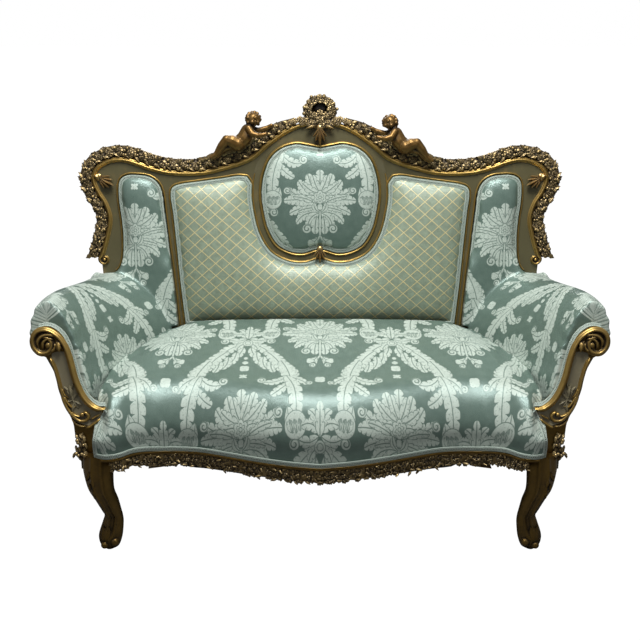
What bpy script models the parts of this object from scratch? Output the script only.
"""Rococo sofa: a carved and gilded two-seat settee with a padded back, arms and seat.

X runs across the sofa, +Y points to its back and +Z up. The origin lies on the floor under the
middle of the sofa. The pieces of the back are modelled flat and hang on one leaning empty.
"""
import math

import bmesh
import bpy
from mathutils import Matrix, Vector
from mathutils.geometry import delaunay_2d_cdt

# Fits
CLEARANCE = 0.0003

# Half width of the back, which the places across the sofa follow
BACK_HALF = 0.666
WIDTH_SHARES = {
    "corner": 0.83333, "rear_leg": 0.88288, "side_rail": 0.90090, "stile_outer": 0.95495,
    "muntin_foot": 0.62162, "muntin_head": 0.65165, "medallion": 0.25826, "arm_inner_front": 0.88889,
    "arm_inner_rear": 0.64565, "arm_outer_front": 1.10511, "arm_outer_rear": 1.06006,
    "arm_roll": 0.21922, "facing_inner": 0.85360, "facing_outer": 1.08709, "webbing_pitch": 0.21021,
}

# Depth of the seat between the face of the back and the front of the arms
BACK_Y = 0.260
SEAT_DEPTH = 0.597
FACING_Y = BACK_Y - SEAT_DEPTH

# Seat frame
RAIL_TOP = 0.300
RAIL_HEIGHT = 0.064
RAIL_BOTTOM = RAIL_TOP - RAIL_HEIGHT
RAIL_THICKNESS = 0.034
SERPENTINE_BOW = 0.089
SERPENTINE_SET = 0.042
SEAT_FRONT_Y = FACING_Y + SERPENTINE_SET
CORNER_X = BACK_HALF * WIDTH_SHARES["corner"]
LEG_SET = 0.002
LEG_TOP_Y = FACING_Y + LEG_SET
LEG_TOP_HALF = 0.038
LEG_SWEEP = 0.050
REAR_LEG_X = BACK_HALF * WIDTH_SHARES["rear_leg"]
REAR_LEG_HALF = 0.024
REAR_LEG_SPLAY = 0.098
SIDE_RAIL_X = BACK_HALF * WIDTH_SHARES["side_rail"]
SIDE_RAIL_BOW = 0.012
CORNER_BLOCK = 0.070
CORNER_BLOCK_HEIGHT = 0.040

# Back frame, measured on its leaning face; rises are shares of CREST_RISE
RISE_SHARES = {
    "joint": 0.66007, "medallion_foot": 0.37624, "medallion_height": 0.52145, "cartouche_foot": 0.97030,
}
BACK_FOOT_RISE = 0.140
BACK_Z = RAIL_TOP + BACK_FOOT_RISE
BACK_LEAN = math.radians(8.0)
BACK_THICKNESS = 0.034
CREST_RISE = 0.606
JOINT_RISE = CREST_RISE * RISE_SHARES["joint"]
STILE_BREADTH = 0.076
STILE_OUTER = BACK_HALF * WIDTH_SHARES["stile_outer"]
STILE_INNER = STILE_OUTER - STILE_BREADTH
BOTTOM_RAIL_RISE = 0.018
MUNTIN_HALF = 0.024
MUNTIN_FOOT_X = BACK_HALF * WIDTH_SHARES["muntin_foot"]
MUNTIN_HEAD_X = BACK_HALF * WIDTH_SHARES["muntin_head"]

# Medallion in the middle of the back
MEDALLION_HALF = 0.172
MEDALLION_FOOT = CREST_RISE * RISE_SHARES["medallion_foot"]
MEDALLION_HEIGHT = CREST_RISE * RISE_SHARES["medallion_height"]
RING_OUT = 0.016
RING_IN = 0.016
BEAD_HALF = 0.0045
BEAD_LINE = 0.007
BEAD_HEIGHT = 0.009

# Carved and gilded trim
MOULDING_HALF = 0.0075
MOULDING_HEIGHT = 0.013
GARLAND_HALF = 0.019
GARLAND_FRONT = 0.014
GARLAND_BACK = 0.028
GARLAND_SWELL = 0.004
CARTOUCHE_HALF = 0.048
CARTOUCHE_FOOT = CREST_RISE * RISE_SHARES["cartouche_foot"]
CARTOUCHE_HEIGHT = 0.104
CARTOUCHE_DEPTH = 0.018
ROSE_RADIUS = 0.013
TRIM_GAP = 0.007
CREST_SPRAY = 0.017
CORNER_SPRAY = 0.017
SPRAY_HEIGHT = 0.010

# Padding
PAD_EDGE = 0.009
PAD_ROLL = 0.016
TRELLIS_CROWN = 0.036
MEDALLION_CROWN = 0.030
WING_CROWN = 0.030
WING_FOOT_THICKNESS = 0.030
TRELLIS_GAP = 0.014
SEAT_RISE = 0.160
SEAT_ROLL = 0.105
SEAT_SIDE_SINK = 0.022
SEAT_SIDE_REACH = 0.090
SEAT_REAR_CLEAR = 0.056
SOFT_CLEARANCE = 0.0009

# Arms
FACING_HEIGHT = 0.322
FACING_SINK = 0.046
ARM_TOP_FRONT = RAIL_TOP + FACING_HEIGHT + FACING_SINK
ARM_TOP_DROP = 0.056
ARM_TOP_REAR = ARM_TOP_FRONT - ARM_TOP_DROP
ARM_OUTER_FRONT = BACK_HALF * WIDTH_SHARES["arm_outer_front"]
ARM_OUTER_REAR = BACK_HALF * WIDTH_SHARES["arm_outer_rear"]
ARM_BULGE = 0.0105
ARM_ROLL = BACK_HALF * WIDTH_SHARES["arm_roll"]
ARM_INNER_FRONT = BACK_HALF * WIDTH_SHARES["arm_inner_front"]
ARM_INNER_REAR = BACK_HALF * WIDTH_SHARES["arm_inner_rear"]
PANEL_THICKNESS = 0.006
FACING_THICKNESS = 0.044
FACING_LEAN = math.radians(9.0)
FACING_INNER_X = BACK_HALF * WIDTH_SHARES["facing_inner"]
FACING_OUTER_X = BACK_HALF * WIDTH_SHARES["facing_outer"]

# Springing and cloth under the seat
WEB_WIDTH = 0.050
WEB_THICKNESS = 0.002
WEB_PITCH_X = BACK_HALF * WIDTH_SHARES["webbing_pitch"]
WEB_PITCH_Y = 0.170
WEB_MIDDLE_Y = -0.015
WEB_LAP = 0.014
SPRING_RADIUS = 0.034
SPRING_WAIST = 0.026
SPRING_WIRE = 0.0018
SPRING_TURNS = 3
DUST_COVER_THICKNESS = 0.0015
BACK_PANEL_THICKNESS = 0.006

# Fineness of the facets
LINE_STEPS = 2
SECTION_SIDES = 12
SEAT_GRID = 0.052
BACK_GRID = 0.046

# Outlines, as shares of the sizes they follow

# Half crest line from the volute under the ear to the middle: BACK_HALF across, CREST_RISE up
CREST_LINE_SHARES = [
    (0.980, 0.341), (0.952, 0.437), (0.934, 0.531), (0.949, 0.606), (0.982, 0.668), (1.000, 0.716),
    (0.998, 0.754), (0.977, 0.790), (0.926, 0.818), (0.869, 0.822), (0.814, 0.807), (0.757, 0.784),
    (0.674, 0.762), (0.589, 0.757), (0.505, 0.762), (0.431, 0.781), (0.357, 0.805), (0.299, 0.833),
    (0.246, 0.881), (0.195, 0.924), (0.137, 0.964), (0.063, 0.995), (0.000, 1.000),
]
# Share of BACK_HALF within which the lines of the back follow the medallion
HUMP_SHARE = 0.6
# Half medallion from the notch on top to the point below: MEDALLION_HALF, MEDALLION_HEIGHT
MEDALLION_SHARES = [
    (0.000, 0.965), (0.200, 0.985), (0.400, 1.000), (0.620, 0.970), (0.790, 0.905), (0.900, 0.815),
    (0.980, 0.673), (1.000, 0.523), (0.965, 0.373), (0.890, 0.213), (0.740, 0.073), (0.520, 0.005),
    (0.300, -0.010), (0.110, 0.020), (0.000, 0.030),
]
# Half trellis pad, from its foot out and over its shoulder to the medallion
TRELLIS_SHARES = [
    (0.607, 0.010), (0.625, 0.200), (0.640, 0.400), (0.653, 0.560), (0.662, 0.645), (0.654, 0.690),
    (0.615, 0.708), (0.536, 0.720), (0.435, 0.735), (0.363, 0.747), (0.323, 0.743),
]
# Breadth of the rolled edges of the pads as shares of MEDALLION_HALF, and of the arm's rise
CROWN_SHARES = {"medallion": 0.75, "trellis": 0.55, "wing": 0.35, "arm": 0.40}
# Wing pad, from its inner foot round its head and down to where the arm runs into it
WING_SHARES = [
    (0.640, 0.010), (0.657, 0.236), (0.674, 0.406), (0.689, 0.560), (0.700, 0.668), (0.722, 0.718),
    (0.758, 0.744), (0.802, 0.752), (0.846, 0.752), (0.878, 0.736), (0.892, 0.700), (0.892, 0.625),
    (0.882, 0.531), (0.878, 0.437), (0.884, 0.342), (0.902, 0.290), (0.945, 0.262), (1.010, 0.275),
    (1.030, 0.200), (1.000, 0.060), (0.960, 0.010),
]
# Inner face of an arm: share of the arm's breadth from its inner side, share of its height
ARM_INNER_SHARES = [
    (0.00, 0.00), (0.00, 0.36), (0.04, 0.46), (0.09, 0.56), (0.17, 0.68), (0.29, 0.81), (0.45, 0.93),
    (0.64, 1.00), (0.83, 0.98), (0.95, 0.90), (1.00, 0.80), (0.98, 0.72), (0.90, 0.67),
]
# Outer face of an arm: share of the roll's breadth in from its outer side, share of its height
ARM_OUTER_SHARES = [(0.24, 0.655), (0.46, 0.645), (0.60, 0.47), (0.78, 0.25), (0.89, 0.00)]
# Line of the outside panel and the rail behind it, in the same shares
ARM_PANEL_SHARES = [(0.30, 0.630), (0.50, 0.47), (0.70, 0.25), (0.83, 0.00)]
ARM_RAIL_SHARES = [(0.565, 0.490), (0.520, 0.490), (0.360, 0.625), (0.440, 0.625)]
# Plan of the seat front: share of the way to the corner, share of the bow
SEAT_FRONT_SHARES = [
    (0.000, 1.000), (0.153, 0.830), (0.306, 0.562), (0.463, 0.225), (0.560, 0.045), (0.674, 0.000),
    (0.769, 0.080), (0.850, 0.400), (0.910, 0.770), (0.972, 0.880),
]
# Arm facing, from its inner foot up to the volute and down its outer side
FACING_SHARES = [
    (0.000, 0.000), (0.000, 0.200), (0.010, 0.360), (0.070, 0.420), (0.160, 0.470), (0.240, 0.530),
    (0.300, 0.640), (0.365, 0.780), (0.445, 0.890), (0.590, 0.975), (0.765, 1.000), (0.900, 0.960),
    (0.985, 0.890), (0.990, 0.820), (0.930, 0.770), (0.830, 0.750), (0.730, 0.735), (0.655, 0.640),
    (0.590, 0.540), (0.530, 0.440), (0.440, 0.350), (0.350, 0.280), (0.325, 0.130), (0.200, 0.070),
    (0.165, 0.000),
]
# Front leg from top to floor: height share, drift share of the corner to the foot, girth share
FRONT_LEG_SHARES = [
    (1.00, 0.00, 1.00), (0.765, 0.00, 0.98), (0.68, 0.36, 0.82), (0.58, 0.66, 0.70),
    (0.46, 0.92, 0.64), (0.34, 1.06, 0.58), (0.25, 1.04, 0.60), (0.17, 0.98, 0.74),
    (0.09, 0.96, 0.80), (0.00, 1.00, 0.68),
]
# Rear leg from top to floor: height share, splay share, girth share
REAR_LEG_SHARES = [
    (1.00, 0.00, 1.00), (0.765, 0.00, 1.00), (0.50, 0.20, 0.92), (0.25, 0.56, 0.84), (0.00, 1.00, 0.90),
]
# Cross section of a moulding: share of its half width, share of its height
MOULDING_SHARES = [(-1.0, 0.0), (-0.72, 0.72), (0.0, 1.0), (0.72, 0.72), (1.0, 0.0)]
# Cross section of the garland: share of its half width, share of its front or back depth
GARLAND_SHARES = [
    (-1.0, -1.0), (-1.0, 0.25), (-0.5, 0.90), (0.2, 1.00), (0.8, 0.45), (1.0, -0.30), (0.7, -1.0),
]
# Half cartouche from its foot up to the middle of its arch
CARTOUCHE_SHARES = [
    (0.00, 0.00), (0.45, 0.06), (0.85, 0.22), (1.00, 0.45), (0.92, 0.68), (0.62, 0.90), (0.00, 1.00),
]
# Cross section of a rail of the seat frame: share of its thickness, share of its height
RAIL_SECTION_SHARES = [
    (0.00, 0.93), (0.12, 1.00), (1.00, 1.00), (1.00, 0.00), (0.30, 0.00), (0.04, 0.16), (0.16, 0.50),
    (0.02, 0.78),
]

# Cherub, in shares of its own height and measured from its seat on the crest
CHERUB_HEIGHT = 0.108
CHERUB_SEAT_X = MEDALLION_HALF * 1.3953
CHERUB_LIFT = 0.0489
CHERUB_BODY_SHARES = {
    "belly": ((0.00, 0.10, 0.10), (-0.16, 0.36, 0.12), 0.19, 0.16),
    "chest": ((-0.16, 0.36, 0.12), (-0.30, 0.56, 0.12), 0.16, 0.13),
    "head": ((-0.43, 0.80, 0.16), (-0.46, 0.86, 0.18), 0.18, 0.17),
    "near_arm": ((-0.30, 0.54, 0.24), (-0.60, 0.40, 0.30), 0.08, 0.06),
    "far_arm": ((-0.32, 0.56, 0.00), (-0.76, 0.62, 0.06), 0.08, 0.05),
    "near_thigh": ((0.02, 0.06, 0.20), (0.42, 0.26, 0.26), 0.14, 0.10),
    "near_shin": ((0.42, 0.26, 0.26), (0.70, -0.06, 0.22), 0.10, 0.06),
    "far_leg": ((0.04, 0.06, 0.04), (0.56, 0.04, 0.06), 0.12, 0.07),
}


def clear_scene():
    """Remove every object that the scene already holds."""
    for thing in list(bpy.data.objects):
        bpy.data.objects.remove(thing, do_unlink=True)


def finish(name, colour, roughness, metallic=0.0):
    """Material with the colour, roughness and metal share of one finish."""
    material = bpy.data.materials.new(name)
    material.use_nodes = True
    shader = material.node_tree.nodes["Principled BSDF"]
    shader.inputs["Base Color"].default_value = (*colour, 1.0)
    shader.inputs["Roughness"].default_value = roughness
    shader.inputs["Metallic"].default_value = metallic
    material.diffuse_color = (*colour, 1.0)
    return material


def empty(name, location, rotation):
    """Empty that places the pieces parented to it."""
    holder = bpy.data.objects.new(name, None)
    holder.location = location
    holder.rotation_euler = rotation
    bpy.context.collection.objects.link(holder)
    return holder


def place(name, mesh_data, material, parent=None, smooth=True):
    """Object from a bmesh, with its faces turned outwards."""
    bmesh.ops.recalc_face_normals(mesh_data, faces=mesh_data.faces)
    mesh = bpy.data.meshes.new(name)
    mesh_data.to_mesh(mesh)
    mesh_data.free()
    mesh.materials.append(material)
    if smooth:
        mesh.shade_smooth()
        mesh.set_sharp_from_angle(angle=math.radians(38.0))
    thing = bpy.data.objects.new(name, mesh)
    thing.parent = parent
    bpy.context.collection.objects.link(thing)
    return thing


def flowing(points, steps, closed=False):
    """Smooth line through the points, with the given steps between each two."""
    points = [Vector(point) for point in points]
    count = len(points)
    spans = count if closed else count - 1
    line = []
    for index in range(spans):
        if closed:
            before, start = points[index - 1], points[index]
            end, after = points[(index + 1) % count], points[(index + 2) % count]
        else:
            before, start = points[max(index - 1, 0)], points[index]
            end, after = points[index + 1], points[min(index + 2, count - 1)]
        for step in range(steps):
            t = step / steps
            line.append(
                start + 0.5 * t * (end - before)
                + t * t * (before - 2.5 * start + 2.0 * end - 0.5 * after)
                + t ** 3 * (1.5 * (start - end) + 0.5 * (after - before))
            )
    if not closed:
        line.append(points[-1])
    return line


def scaled(shares, width, height, rise=0.0):
    """Real points from a table of shares."""
    return [Vector((x * width, rise + y * height)) for x, y in shares]


def mirrored(half):
    """Whole outline from its right half, which starts and ends on the middle line."""
    return half + [Vector((-point.x, point.y)) for point in reversed(half[1:-1])]


def sideways(line, distance, closed=False):
    """The same line moved to its right hand."""
    moved = []
    count = len(line)
    for index, point in enumerate(line):
        if closed:
            along = line[(index + 1) % count] - line[index - 1]
        else:
            along = line[min(index + 1, count - 1)] - line[max(index - 1, 0)]
        along.normalize()
        moved.append(point + Vector((along.y, -along.x)) * distance)
    return moved


def distance_to(point, line, closed=True):
    """Least distance from a point to a line of straight stretches."""
    best = math.inf
    last = len(line) if closed else len(line) - 1
    for index in range(last):
        start, end = line[index], line[(index + 1) % len(line)]
        along = end - start
        share = (point - start).dot(along) / max(along.length_squared, 1e-12)
        best = min(best, (start + along * min(max(share, 0.0), 1.0) - point).length)
    return best


def inside(point, outline):
    """Whether a point lies inside a closed outline."""
    hit = False
    for index, end in enumerate(outline):
        start = outline[index - 1]
        if (start.y > point.y) != (end.y > point.y):
            if point.x < start.x + (end.x - start.x) * (point.y - start.y) / (end.y - start.y):
                hit = not hit
    return hit


def loft(name, rings, material, parent=None, closed=False, smooth=True):
    """Closed body over a row of rings, with a flat cap on each end unless it closes on itself."""
    body = bmesh.new()
    rows = [[body.verts.new(point) for point in ring] for ring in rings]
    pairs = list(zip(rows, rows[1:]))
    if closed:
        pairs.append((rows[-1], rows[0]))
    for near, far in pairs:
        for index in range(len(near)):
            body.faces.new((near[index - 1], near[index], far[index], far[index - 1]))
    if not closed:
        body.faces.new(rows[0])
        body.faces.new(rows[-1])
    return place(name, body, material, parent, smooth)


def board(name, outline, back, front, material, parent=None, hole=None, reach=None):
    """Flat board cut to an outline, with its thickness along Z or along what reach gives."""
    body = bmesh.new()
    edges = []
    for line in [outline] + ([hole] if hole else []):
        row = [body.verts.new((point.x, point.y, back)) for point in line]
        edges += [body.edges.new((row[index - 1], row[index])) for index in range(len(row))]
    bmesh.ops.triangle_fill(body, edges=edges, use_beauty=True)
    raised = bmesh.ops.extrude_face_region(body, geom=body.faces[:])
    top = [part for part in raised["geom"] if isinstance(part, bmesh.types.BMVert)]
    for corner in top:
        corner.co.z = front
    if reach:
        for corner in body.verts:
            corner.co = reach(corner.co)
    return place(name, body, material, parent)


def inset_points(outline, reach):
    """Points of a line that runs inside an outline, as far in as reach says."""
    found = []
    for way in (reach, -reach):
        for point in sideways(outline, way, closed=True):
            clear = distance_to(point, outline) > 0.97 * reach
            if clear and inside(point, outline):
                if all((point - other).length > 0.6 * reach for other in found):
                    found.append(point)
    return found


def cushion(name, outline, back, front_at, grid, material, parent=None, insets=()):
    """Padded panel: flat behind, and in front as high as front_at says for each point."""
    low = Vector((min(point.x for point in outline), min(point.y for point in outline)))
    high = Vector((max(point.x for point in outline), max(point.y for point in outline)))
    middle_x = (low.x + high.x) / 2.0
    columns = int((high.x - low.x) / grid / 2.0) + 1
    rows = int((high.y - low.y) / grid) + 1
    points = list(outline)
    for reach in insets:
        points += inset_points(outline, reach)
    margin = (insets[-1] if insets else 0.0) + 0.45 * grid
    for row in range(rows + 1):
        shift = 0.5 * (row % 2)
        for column in range(-columns, columns + 1):
            point = Vector((middle_x + (column + shift) * grid, low.y + row * grid))
            if inside(point, outline) and distance_to(point, outline) > margin:
                points.append(point)
    rim = list(range(len(outline)))
    found = delaunay_2d_cdt(points, [], [rim], 1, 1e-6)
    flat, faces, origins = found[0], found[2], found[3]
    body = bmesh.new()
    front = []
    back_rim = {}
    for point, origin in zip(flat, origins):
        height = front_at(point, distance_to(point, outline))
        front.append(body.verts.new((point.x, point.y, height)))
        for index in origin:
            if index < len(outline):
                back_rim[index] = (front[-1], body.verts.new((point.x, point.y, back)))
    for face in faces:
        body.faces.new([front[index] for index in face])
    for index in rim:
        near, far = back_rim[index - 1 if index else rim[-1]], back_rim[index]
        body.faces.new((near[0], far[0], far[1], near[1]))
    body.faces.new([back_rim[index][1] for index in rim])
    return place(name, body, material, parent)


def ribbon(name, line, section, half_at, height_at, material, parent, closed=False, base=0.0):
    """Moulding laid along a flat line: the section's shares times its half width and height."""
    rings = []
    count = len(line)
    for index, point in enumerate(line):
        if closed:
            along = (line[(index + 1) % count] - line[index - 1]).normalized()
        else:
            along = (line[min(index + 1, count - 1)] - line[max(index - 1, 0)]).normalized()
        across = Vector((along.y, -along.x))
        place_share = index / (count - 1)
        ring = []
        for over, up in section:
            spot = point + across * over * half_at(place_share)
            ring.append(Vector((spot.x, spot.y, base + height_at(place_share, up))))
        rings.append(ring)
    return loft(name, rings, material, parent, closed)


def limb(start, end, start_radius, end_radius, sides=8):
    """Rings of a rounded and tapered limb between two points."""
    along = (end - start).normalized()
    turn = along.to_track_quat("Z", "Y")
    length = (end - start).length
    rings = []
    stations = [(-1.0, 0.25), (-0.80, 0.62), (-0.30, 0.96)]
    for reach, girth in stations:
        rings.append((reach * start_radius, girth * start_radius))
    for reach, girth in reversed(stations):
        rings.append((length - reach * end_radius, girth * end_radius))
    points = []
    for reach, radius in rings:
        ring = []
        for side in range(sides):
            angle = math.tau * side / sides
            ring.append(start + turn @ Vector((radius * math.cos(angle), radius * math.sin(angle), reach)))
        points.append(ring)
    return points


def fuse(body, helpers, operation="UNION"):
    """Join helpers to a body, or cut them from it, and hide them."""
    for helper in helpers:
        helper.hide_render = True
        helper.display_type = "WIRE"
        cut = body.modifiers.new(helper.name, "BOOLEAN")
        cut.operation = operation
        cut.solver = "EXACT"
        cut.object = helper
    return body


def back_y(z):
    """Y of the show-wood face of the back at a height."""
    return BACK_Y + (z - BACK_Z) * math.tan(BACK_LEAN)


def facing_y(z):
    """Y of the front of the arm facings at a height."""
    return FACING_Y + (z - RAIL_TOP) * math.tan(FACING_LEAN)


def arm_inner_x(y):
    """How far out the inner side of an arm stands at a depth."""
    rear = back_y(RAIL_TOP)
    share = min(max((y - FACING_Y - FACING_THICKNESS) / (rear - FACING_Y - FACING_THICKNESS), 0.0), 1.0)
    return ARM_INNER_FRONT + (ARM_INNER_REAR - ARM_INNER_FRONT) * share ** 1.8


def front_line():
    """Serpentine plan of the seat front, from the middle to the right corner."""
    points = [
        Vector((x * CORNER_X, SEAT_FRONT_Y - bow * SERPENTINE_BOW)) for x, bow in SEAT_FRONT_SHARES
    ]
    return flowing(points, LINE_STEPS)


def front_y(x):
    """Y of the serpentine seat front at a distance from the middle."""
    line = front_line()
    for start, end in zip(line, line[1:]):
        if start.x <= abs(x) <= end.x:
            share = (abs(x) - start.x) / (end.x - start.x)
            return start.y + (end.y - start.y) * share
    return line[-1].y


def on_back(shares):
    """Points of the back from their shares; those near the middle move out with the medallion."""
    spread = MEDALLION_HALF / (BACK_HALF * WIDTH_SHARES["medallion"]) - 1.0
    points = []
    for x, y in shares:
        near = ease((HUMP_SHARE - x) * 2.0 / HUMP_SHARE)
        points.append((x * (1.0 + spread * near), y))
    return scaled(points, BACK_HALF, CREST_RISE)


def crest_line():
    """Half outline of the back, from the volute under the ear to the middle of the crest."""
    return flowing(on_back(CREST_LINE_SHARES), LINE_STEPS)


def crest_rise(x):
    """Rise of the top edge of the back at a distance from its middle."""
    line = crest_line()
    for start, end in zip(reversed(line), list(reversed(line))[1:]):
        if start.x <= x <= end.x:
            share = (x - start.x) / (end.x - start.x)
            return start.y + (end.y - start.y) * share
    return line[-1].y


def medallion_line(outward=0.0):
    """Closed outline of the medallion, moved outwards; the first half is the right one."""
    half = scaled(MEDALLION_SHARES, MEDALLION_HALF, MEDALLION_HEIGHT, MEDALLION_FOOT)
    return sideways(mirrored(flowing(half, LINE_STEPS)), -outward, closed=True)


def medallion_half(outward):
    """Right half of the moved medallion outline, from its top to its foot."""
    whole = medallion_line(outward)
    return whole[:len(whole) // 2 + 1]


def back_foot():
    """Rise of the foot of the back frame, where it stands on the seat frame."""
    return (RAIL_TOP + CLEARANCE - BACK_Z) / math.cos(BACK_LEAN)


def level_foot(spot):
    """Point of a back board, with the foot of the board cut level."""
    if spot.y > back_foot() + CLEARANCE:
        return spot
    return Vector((spot.x, spot.y - spot.z * math.tan(BACK_LEAN), spot.z))


def flip(points, side):
    """Flat points carried over to the left where side is -1."""
    return [Vector((point.x * side, point.y)) for point in points]


def dome(share):
    """Height share of a padded edge that rolls up to its full height."""
    return math.sqrt(1.0 - (1.0 - min(max(share, 0.0), 1.0)) ** 2)


def ease(share):
    """Smooth step from 0 to 1."""
    share = min(max(share, 0.0), 1.0)
    return share * share * (3.0 - 2.0 * share)


def section(centre_x, centre_y, z, half):
    """Ring of a post that is square with well rounded edges."""
    ring = []
    for side in range(SECTION_SIDES):
        angle = math.tau * (side + 0.5) / SECTION_SIDES
        across, along = math.cos(angle), math.sin(angle)
        bulge = (abs(across) ** 5 + abs(along) ** 5) ** -0.2
        ring.append(Vector((centre_x + half * across * bulge, centre_y + half * along * bulge, z)))
    return ring


def seat_frame(timber, show_wood):
    """Rails, corner blocks and the four legs."""
    rail_end = CORNER_X - LEG_TOP_HALF - CLEARANCE
    line = [point for point in front_line() if point.x < rail_end]
    line.append(Vector((rail_end, front_y(rail_end))))
    line = [Vector((-point.x, point.y)) for point in reversed(line[1:])] + line
    rings = []
    for point in line:
        rings.append([
            Vector((point.x, point.y + deep * RAIL_THICKNESS, RAIL_BOTTOM + up * RAIL_HEIGHT))
            for deep, up in RAIL_SECTION_SHARES
        ])
    loft("front_rail", rings, show_wood)

    rear_leg_y = back_y(RAIL_TOP) + BACK_THICKNESS / 2.0
    rear_end = REAR_LEG_X - REAR_LEG_HALF - CLEARANCE
    outline = [
        Vector((-rear_end, rear_leg_y - RAIL_THICKNESS / 2.0)),
        Vector((rear_end, rear_leg_y - RAIL_THICKNESS / 2.0)),
        Vector((rear_end, rear_leg_y + RAIL_THICKNESS / 2.0)),
        Vector((-rear_end, rear_leg_y + RAIL_THICKNESS / 2.0)),
    ]
    board("rear_rail", outline, RAIL_BOTTOM, RAIL_TOP, timber)

    rail_front = LEG_TOP_Y + LEG_TOP_HALF + CLEARANCE
    rail_rear = rear_leg_y - REAR_LEG_HALF - CLEARANCE
    block_low = RAIL_BOTTOM + (RAIL_HEIGHT - CORNER_BLOCK_HEIGHT) / 2.0
    for side, word in ((-1, "left"), (1, "right")):
        rings = []
        stations = 6
        for index in range(stations + 1):
            share = index / stations
            y = rail_front + (rail_rear - rail_front) * share
            middle = SIDE_RAIL_X + SIDE_RAIL_BOW * math.sin(math.pi * share)
            half = RAIL_THICKNESS / 2.0
            rings.append([
                Vector((side * (middle - half), y, RAIL_BOTTOM)),
                Vector((side * (middle + half), y, RAIL_BOTTOM)),
                Vector((side * (middle + half), y, RAIL_TOP)),
                Vector((side * (middle - half), y, RAIL_TOP)),
            ])
        loft("side_rail_" + word, rings, timber)

        corner = SIDE_RAIL_X - RAIL_THICKNESS / 2.0 - CLEARANCE
        for end, y, step in (("front", rail_front, 1), ("rear", rail_rear, -1)):
            outline = [
                Vector((side * corner, y)),
                Vector((side * (corner - CORNER_BLOCK), y)),
                Vector((side * corner, y + step * CORNER_BLOCK)),
            ]
            name = "corner_block_" + end + "_" + word
            board(name, outline, block_low, block_low + CORNER_BLOCK_HEIGHT, timber)

        rings = []
        for rise, drift, girth in FRONT_LEG_SHARES:
            y = LEG_TOP_Y + LEG_SWEEP * drift
            rings.append(section(side * CORNER_X, y, rise * RAIL_TOP, LEG_TOP_HALF * girth))
        loft("front_leg_" + word, rings, show_wood)

        rings = []
        for rise, splay, girth in REAR_LEG_SHARES:
            y = rear_leg_y + REAR_LEG_SPLAY * splay
            rings.append(section(side * REAR_LEG_X, y, rise * RAIL_TOP, REAR_LEG_HALF * girth))
        loft("rear_leg_" + word, rings, show_wood)


def back_frame(plane, show_wood, timber):
    """Flat boards of the back: crest rail, stiles, muntins, medallion ring and bottom rail."""
    crest = crest_line()
    foot = back_foot()
    above = next(index for index, point in enumerate(crest) if point.y > JOINT_RISE)
    lower, upper = crest[:above], crest[above:]
    share = (JOINT_RISE - lower[-1].y) / (upper[0].y - lower[-1].y)
    joint = lower[-1] + (upper[0] - lower[-1]) * share
    lift = Vector((0.0, CLEARANCE))

    beside = medallion_half(RING_OUT + CLEARANCE)
    above_joint = [point for point in beside if point.y > JOINT_RISE]
    widest = max(point.x for point in beside)
    half = list(reversed(upper)) + [joint + lift, Vector((widest, joint.y)) + lift]
    half += list(reversed(above_joint))
    board("crest_rail", mirrored(half), -BACK_THICKNESS, 0.0, show_wood, plane)
    board(
        "medallion_ring", medallion_line(RING_OUT), -BACK_THICKNESS, 0.0, show_wood, plane,
        hole=medallion_line(-RING_IN),
    )
    for side, word in ((-1, "left"), (1, "right")):
        outline = [Vector((STILE_INNER, foot)), Vector((STILE_OUTER, foot)), Vector((STILE_OUTER, 0.0))]
        outline += lower + [joint, Vector((STILE_INNER, joint.y))]
        board(
            "back_stile_" + word, flip(outline, side), -BACK_THICKNESS, 0.0, show_wood, plane,
            reach=level_foot,
        )
        outline = [
            Vector((MUNTIN_FOOT_X - MUNTIN_HALF, BOTTOM_RAIL_RISE + CLEARANCE)),
            Vector((MUNTIN_FOOT_X + MUNTIN_HALF, BOTTOM_RAIL_RISE + CLEARANCE)),
            Vector((MUNTIN_HEAD_X + MUNTIN_HALF, JOINT_RISE)),
            Vector((MUNTIN_HEAD_X - MUNTIN_HALF, JOINT_RISE)),
        ]
        board("back_muntin_" + word, flip(outline, side), -BACK_THICKNESS, 0.0, show_wood, plane)
    width = STILE_INNER - CLEARANCE
    outline = [
        Vector((-width, foot)), Vector((width, foot)),
        Vector((width, BOTTOM_RAIL_RISE)), Vector((-width, BOTTOM_RAIL_RISE)),
    ]
    board("back_bottom_rail", outline, -BACK_THICKNESS, 0.0, timber, plane, reach=level_foot)


def back_trim(plane, gilt):
    """Carved and gilded pieces that lie on the frame of the back or stand on its edge."""
    crest = crest_line()
    end_x = CARTOUCHE_HALF + TRIM_GAP
    for side, word in ((-1, "left"), (1, "right")):
        line = sideways(crest, -MOULDING_HALF - CLEARANCE)
        line = flip([point for point in line if point.x > end_x], side)
        ribbon(
            "scroll_moulding_" + word, line, MOULDING_SHARES, lambda share: MOULDING_HALF,
            lambda share, up: up * MOULDING_HEIGHT, gilt, plane, base=CLEARANCE,
        )
        make_garland("garland_" + word, side, 0.0, gilt, plane)
        cherub = make_cherub("cherub_" + word, side, gilt, plane)
        cutter = make_garland("garland_seat_" + word, side, CLEARANCE, gilt, plane)
        fuse(cherub, [cutter], "DIFFERENCE")
        corner = Vector((side * BACK_HALF * 0.936, CREST_RISE * 0.722))
        make_spray("corner_spray_" + word, corner, CORNER_SPRAY, side * math.radians(215.0), gilt, plane)
    make_cartouche(gilt, plane)
    top = medallion_half(RING_OUT)[0].y
    spray = Vector((0.0, (top + CARTOUCHE_FOOT) / 2.0))
    make_spray("crest_spray", spray, CREST_SPRAY, math.radians(-90.0), gilt, plane)
    ribbon(
        "medallion_bead", medallion_line(BEAD_LINE), MOULDING_SHARES, lambda share: BEAD_HALF,
        lambda share, up: up * BEAD_HEIGHT, gilt, plane, closed=True, base=CLEARANCE,
    )


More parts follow.
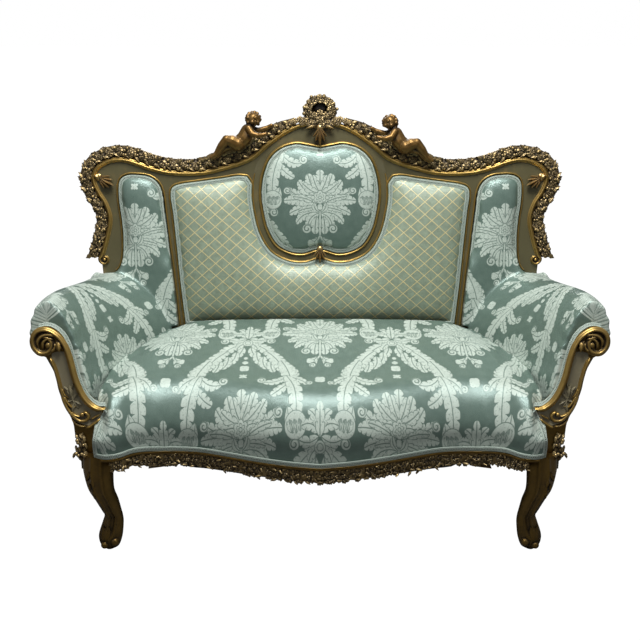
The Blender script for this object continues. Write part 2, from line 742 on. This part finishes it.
def make_garland(name, side, extra, gilt, plane):
    """Carved garland that stands on the edge of the back, swelling with its flowers."""
    end_x = CARTOUCHE_HALF + TRIM_GAP
    line = sideways(crest_line(), GARLAND_HALF + GARLAND_SWELL + CLEARANCE)
    line = flip([point for point in line if point.x > end_x], side)

    def half_at(share):
        return GARLAND_HALF + GARLAND_SWELL * math.sin(share * math.tau * 9.0) + extra

    def height_at(share, up):
        depth = GARLAND_FRONT if up > 0.0 else GARLAND_BACK
        swell = GARLAND_SWELL * math.sin(share * math.tau * 9.0) if up > 0.0 else 0.0
        return up * (depth + swell + extra)

    return ribbon(name, line, GARLAND_SHARES, half_at, height_at, gilt, plane)


def make_cherub(name, side, gilt, plane):
    """Reclining cherub of rounded limbs, seated on the garland and facing the middle."""
    limbs = []
    seat_rise = crest_rise(CHERUB_SEAT_X) + CHERUB_LIFT
    for part, (start, end, start_girth, end_girth) in CHERUB_BODY_SHARES.items():
        ends = []
        for across, up, out in (start, end):
            ends.append(Vector((
                side * (CHERUB_SEAT_X + across * CHERUB_HEIGHT),
                seat_rise + up * CHERUB_HEIGHT,
                out * CHERUB_HEIGHT,
            )))
        rings = limb(*ends, start_girth * CHERUB_HEIGHT, end_girth * CHERUB_HEIGHT)
        limbs.append(loft(name if not limbs else name + "_" + part, rings, gilt, plane))
    return fuse(limbs[0], limbs[1:])


def make_spray(name, centre, reach, turn, gilt, plane):
    """Small acanthus spray of five lobes."""
    outline = []
    points = 30
    for index in range(points):
        angle = math.tau * index / points
        lobe = 0.62 + 0.38 * abs(math.cos(angle * 2.5))
        radius = reach * lobe
        direction = angle + turn
        outline.append(centre + Vector((math.cos(direction), math.sin(direction))) * radius)

    def front_at(point, edge):
        return SPRAY_HEIGHT * (0.35 + 0.65 * dome(edge / (reach * 0.6)))

    return cushion(name, outline, CLEARANCE, front_at, reach / 2.0, gilt, plane)


def make_cartouche(gilt, plane):
    """Arched crest cartouche with a wreath of roses round a hollow shell."""
    half = scaled(CARTOUCHE_SHARES, CARTOUCHE_HALF, CARTOUCHE_HEIGHT, CARTOUCHE_FOOT)
    half = flowing(half, LINE_STEPS)
    outline = mirrored(half)

    def front_at(point, edge):
        rim = ease(edge / ROSE_RADIUS)
        hollow = ease((edge - ROSE_RADIUS) / ROSE_RADIUS)
        return CARTOUCHE_DEPTH * (0.5 + 0.5 * rim - 0.5 * hollow)

    body = cushion("crest_cartouche", outline, CLEARANCE, front_at, ROSE_RADIUS, gilt, plane)
    roses = []
    for index, share in enumerate((0.45, 0.68, 0.90, 1.0, 0.90, 0.68, 0.45)):
        across = (index - 3) / 3.0
        spot = (
            CARTOUCHE_HALF * math.sin(across * math.pi / 2.0) * 0.80,
            CARTOUCHE_FOOT + CARTOUCHE_HEIGHT * (share - 0.10),
            CARTOUCHE_DEPTH,
        )
        rose = bmesh.new()
        bmesh.ops.create_uvsphere(
            rose, u_segments=8, v_segments=5, radius=ROSE_RADIUS, matrix=Matrix.Translation(spot)
        )
        roses.append(place("crest_rose_" + str(index), rose, gilt, plane))
    return fuse(body, roses)


def back_pads(plane, damask, trellis):
    """Padded panels on the face of the back."""
    medallion = medallion_line()
    radius = MEDALLION_HALF * CROWN_SHARES["medallion"]

    def medallion_front(point, edge):
        return PAD_EDGE + MEDALLION_CROWN * dome(edge / radius)

    insets = [PAD_ROLL]
    cushion("medallion_pad", medallion, CLEARANCE, medallion_front, BACK_GRID, damask, plane, insets)

    line = flowing(on_back(TRELLIS_SHARES), LINE_STEPS)
    shoulder = line[-1]
    around = [point for point in medallion_half(TRELLIS_GAP) if point.y < shoulder.y - TRELLIS_GAP]
    half = [Vector((0.0, line[0].y))] + line + around
    whole = mirrored(half)
    reach = MEDALLION_HALF * CROWN_SHARES["trellis"]

    def trellis_front(point, edge):
        return PAD_EDGE + TRELLIS_CROWN * dome(edge / reach)

    cushion("trellis_pad", whole, CLEARANCE, trellis_front, BACK_GRID, trellis, plane, insets)

    arm_rise = (ARM_TOP_REAR - BACK_Z) / math.cos(BACK_LEAN)
    for side, word in ((-1, "left"), (1, "right")):
        line = flowing(scaled(WING_SHARES, BACK_HALF, CREST_RISE), LINE_STEPS)

        def wing_front(point, edge):
            free = ease((point.y - arm_rise) / (arm_rise * CROWN_SHARES["arm"]))
            crowned = PAD_EDGE + WING_CROWN * dome(edge / (MEDALLION_HALF * CROWN_SHARES["wing"]))
            return WING_FOOT_THICKNESS + (crowned - WING_FOOT_THICKNESS) * free

        name = "wing_pad_" + word
        cushion(name, flip(line, side), CLEARANCE, wing_front, BACK_GRID, damask, plane, insets)


def seat_padding(damask):
    """Thick crowned seat with a serpentine front that rolls over to the rail."""
    line = front_line()
    rear_y = back_y(RAIL_TOP + SEAT_RISE) - SEAT_REAR_CLEAR
    notch_y = facing_y(RAIL_TOP + SEAT_RISE) + FACING_THICKNESS + CLEARANCE / math.cos(FACING_LEAN)
    notch_y += SOFT_CLEARANCE
    stations = 12
    half = []
    for index in range(stations + 1):
        y = notch_y + (rear_y - notch_y) * index / stations
        half.append(Vector((arm_inner_x(y) - SOFT_CLEARANCE, y)))
    half = [Vector((0.0, rear_y))] + list(reversed(half))
    edge_x = FACING_INNER_X - SOFT_CLEARANCE
    half += [Vector((edge_x, notch_y)), Vector((edge_x, FACING_Y + CLEARANCE))]
    half += list(reversed(line))
    outline = mirrored(half)
    front = [Vector((-point.x, point.y)) for point in reversed(line[1:])] + line
    sides = [point for point in half if point.x > 0.0 and point.y > FACING_Y]
    base = RAIL_TOP + CLEARANCE

    def top_at(point, edge):
        roll = dome(distance_to(point, front, closed=False) / SEAT_ROLL)
        near = distance_to(Vector((abs(point.x), point.y)), sides, closed=False)
        sink = SEAT_SIDE_SINK * (1.0 - ease(near / SEAT_SIDE_REACH))
        lip = SEAT_RISE * 0.12
        return base + lip + (SEAT_RISE - lip) * roll - sink * roll

    insets = [SEAT_ROLL * share for share in (0.12, 0.38, 0.75)]
    cushion("seat_pad", outline, base, top_at, SEAT_GRID, damask, insets=insets)


def arm_ring(share, points):
    """Ring of an arm part: each point has its x and its height worked out at that station."""
    ring = []
    for x_at, z in points:
        front = facing_y(z) + (FACING_THICKNESS + CLEARANCE) / math.cos(FACING_LEAN)
        rear = back_y(z) - (WING_FOOT_THICKNESS + 2.0 * CLEARANCE) / math.cos(BACK_LEAN)
        y = front + (rear - front) * share
        ring.append(Vector((x_at(y), y, z)))
    return ring


def arm_outer_x(share):
    """How far out the roll of an arm reaches, bulging in the middle."""
    straight = ARM_OUTER_FRONT + (ARM_OUTER_REAR - ARM_OUTER_FRONT) * share ** 2
    return straight + ARM_BULGE * math.sin(math.pi * share)


def arms(damask, show_wood, timber):
    """Rolled arm pads, their rails, outside panels and carved facings."""
    stations = 12
    base = RAIL_TOP + CLEARANCE
    for side, word in ((-1, "left"), (1, "right")):
        pad, rail, panel = [], [], []
        for index in range(stations + 1):
            share = index / stations
            top = ARM_TOP_FRONT + (ARM_TOP_REAR - ARM_TOP_FRONT) * ease(share)
            outer = arm_outer_x(share)
            height = top - base

            def inner_at(part):
                return lambda y: side * (arm_inner_x(y) + part * (outer - arm_inner_x(y)))

            def outer_at(part, shift=0.0):
                return lambda y: side * (outer - part * ARM_ROLL + shift)

            points = [(inner_at(part), base + up * height) for part, up in ARM_INNER_SHARES]
            points += [(outer_at(part), base + up * height) for part, up in ARM_OUTER_SHARES]
            pad.append(arm_ring(share, points))
            points = [(outer_at(part), base + up * height) for part, up in ARM_RAIL_SHARES]
            rail.append(arm_ring(share, points))
            points = [(outer_at(part), base + up * height) for part, up in ARM_PANEL_SHARES]
            points += [
                (outer_at(part, PANEL_THICKNESS), base + up * height)
                for part, up in reversed(ARM_PANEL_SHARES)
            ]
            panel.append(arm_ring(share, points))
        loft("arm_pad_" + word, pad, damask)
        loft("arm_rail_" + word, rail, timber, smooth=False)
        loft("outside_arm_panel_" + word, panel, damask)

        stand = (0.0, FACING_Y, base)
        holder = empty("facing_plane_" + word, stand, (math.radians(90.0) - FACING_LEAN, 0.0, 0.0))
        outline = [
            Vector((side * (FACING_INNER_X + x * (FACING_OUTER_X - FACING_INNER_X)), z * FACING_HEIGHT))
            for x, z in FACING_SHARES
        ]
        board(
            "arm_facing_" + word, flowing(outline, LINE_STEPS), -FACING_THICKNESS, 0.0,
            show_wood, holder,
            reach=lambda spot: Vector((spot.x, spot.y - spot.z * math.tan(FACING_LEAN), spot.z)),
        )


def under_seat(jute, steel, cloth):
    """Woven webbing under the rails, coil springs on it and the dust cover below."""
    rear_y = back_y(RAIL_TOP) + BACK_THICKNESS / 2.0
    top = RAIL_BOTTOM - CLEARANCE
    columns = [index * WEB_PITCH_X for index in range(-3, 4)]
    rows = [WEB_MIDDLE_Y + index * WEB_PITCH_Y for index in range(-1, 2)]
    half = WEB_WIDTH / 2.0
    side_x = SIDE_RAIL_X - RAIL_THICKNESS / 2.0 + WEB_LAP
    xs = [-side_x] + [x + step for x in columns for step in (-half, half)] + [side_x]
    ys = [None] + [y + step for y in rows for step in (-half, half)] + [rear_y]
    webbing = bmesh.new()
    grid = {}
    for column, x in enumerate(xs):
        for row, y in enumerate(ys):
            depth = front_y(x) + RAIL_THICKNESS - WEB_LAP if y is None else y
            grid[column, row] = webbing.verts.new((x, depth, top))
    for column in range(len(xs) - 1):
        for row in range(len(ys) - 1):
            if column % 2 or row % 2:
                webbing.faces.new((
                    grid[column, row], grid[column + 1, row],
                    grid[column + 1, row + 1], grid[column, row + 1],
                ))
    loose = [corner for corner in webbing.verts if not corner.link_faces]
    bmesh.ops.delete(webbing, geom=loose, context="VERTS")
    raised = bmesh.ops.extrude_face_region(webbing, geom=webbing.faces[:])
    for corner in raised["geom"]:
        if isinstance(corner, bmesh.types.BMVert):
            corner.co.z -= WEB_THICKNESS
    place("seat_webbing", webbing, jute, smooth=False)

    number = 1
    for y in (rows[0], rows[2]):
        for x in (columns[0], columns[2], columns[4], columns[6]):
            foot = RAIL_BOTTOM + SPRING_WIRE
            height = RAIL_TOP - foot - SPRING_WIRE
            steps = SPRING_TURNS * 8
            path = []
            for index in range(steps + 1):
                share = index / steps
                turn = math.tau * SPRING_TURNS * share
                radius = SPRING_WAIST + (SPRING_RADIUS - SPRING_WAIST) * (2.0 * share - 1.0) ** 2
                path.append(Vector((x + radius * math.cos(turn), y + radius * math.sin(turn),
                                    foot + height * share)))
            rings = []
            for index, spot in enumerate(path):
                along = path[min(index + 1, steps)] - path[max(index - 1, 0)]
                turn = along.to_track_quat("Z", "X")
                ring = []
                for side in range(4):
                    angle = math.tau * (side + 0.5) / 4.0
                    offset = Vector((math.cos(angle), math.sin(angle), 0.0)) * SPRING_WIRE
                    ring.append(spot + turn @ offset)
                rings.append(ring)
            loft("seat_spring_" + str(number), rings, steel)
            number += 1

    low = top - WEB_THICKNESS - CLEARANCE
    leg_x = CORNER_X - LEG_TOP_HALF - CLEARANCE
    line = [point for point in front_line() if point.x < leg_x]
    half_plan = [Vector((point.x, point.y + WEB_LAP)) for point in line]
    leg_rear = LEG_TOP_Y + LEG_TOP_HALF + CLEARANCE
    edge = SIDE_RAIL_X + RAIL_THICKNESS / 4.0
    rear_leg_front = rear_y - REAR_LEG_HALF - CLEARANCE
    rear_leg_inner = REAR_LEG_X - REAR_LEG_HALF - CLEARANCE
    half_plan += [
        Vector((line[-1].x, leg_rear)), Vector((edge, leg_rear)), Vector((edge, rear_leg_front)),
        Vector((rear_leg_inner, rear_leg_front)), Vector((rear_leg_inner, rear_y)),
        Vector((0.0, rear_y)),
    ]
    board("dust_cover", mirrored(half_plan), low - DUST_COVER_THICKNESS, low, cloth)


def back_cover(plane, damask):
    """Fabric panel over the rear of the back."""
    crest = sideways(crest_line(), -MOULDING_HALF)
    crest[-1].x = 0.0
    foot = (RAIL_TOP - BACK_Z) / math.cos(BACK_LEAN) + MOULDING_HALF
    half = [Vector((0.0, foot)), Vector((STILE_OUTER - MOULDING_HALF, foot))] + crest
    high = -BACK_THICKNESS - CLEARANCE
    board("outside_back_panel", mirrored(half), high - BACK_PANEL_THICKNESS, high, damask, plane)


def build_sofa():
    """Model every piece of the sofa."""
    clear_scene()
    show_wood = finish("olive show wood", (0.108, 0.095, 0.048), 0.42)
    gilt = finish("aged gilt", (0.36, 0.19, 0.045), 0.38, 0.85)
    damask = finish("aqua damask", (0.20, 0.37, 0.34), 0.42)
    trellis = finish("trellis silk", (0.30, 0.38, 0.30), 0.45)
    timber = finish("beech", (0.50, 0.33, 0.18), 0.60)
    jute = finish("jute webbing", (0.42, 0.30, 0.16), 0.90)
    steel = finish("spring steel", (0.35, 0.33, 0.31), 0.40, 1.0)
    cloth = finish("dust cloth", (0.03, 0.03, 0.03), 0.95)
    tilt = math.radians(90.0) - BACK_LEAN
    plane = empty("back_plane", (0.0, BACK_Y, BACK_Z), (tilt, 0.0, 0.0))
    seat_frame(timber, show_wood)
    back_frame(plane, show_wood, timber)
    back_trim(plane, gilt)
    back_pads(plane, damask, trellis)
    back_cover(plane, damask)
    seat_padding(damask)
    arms(damask, show_wood, timber)
    under_seat(jute, steel, cloth)


build_sofa()
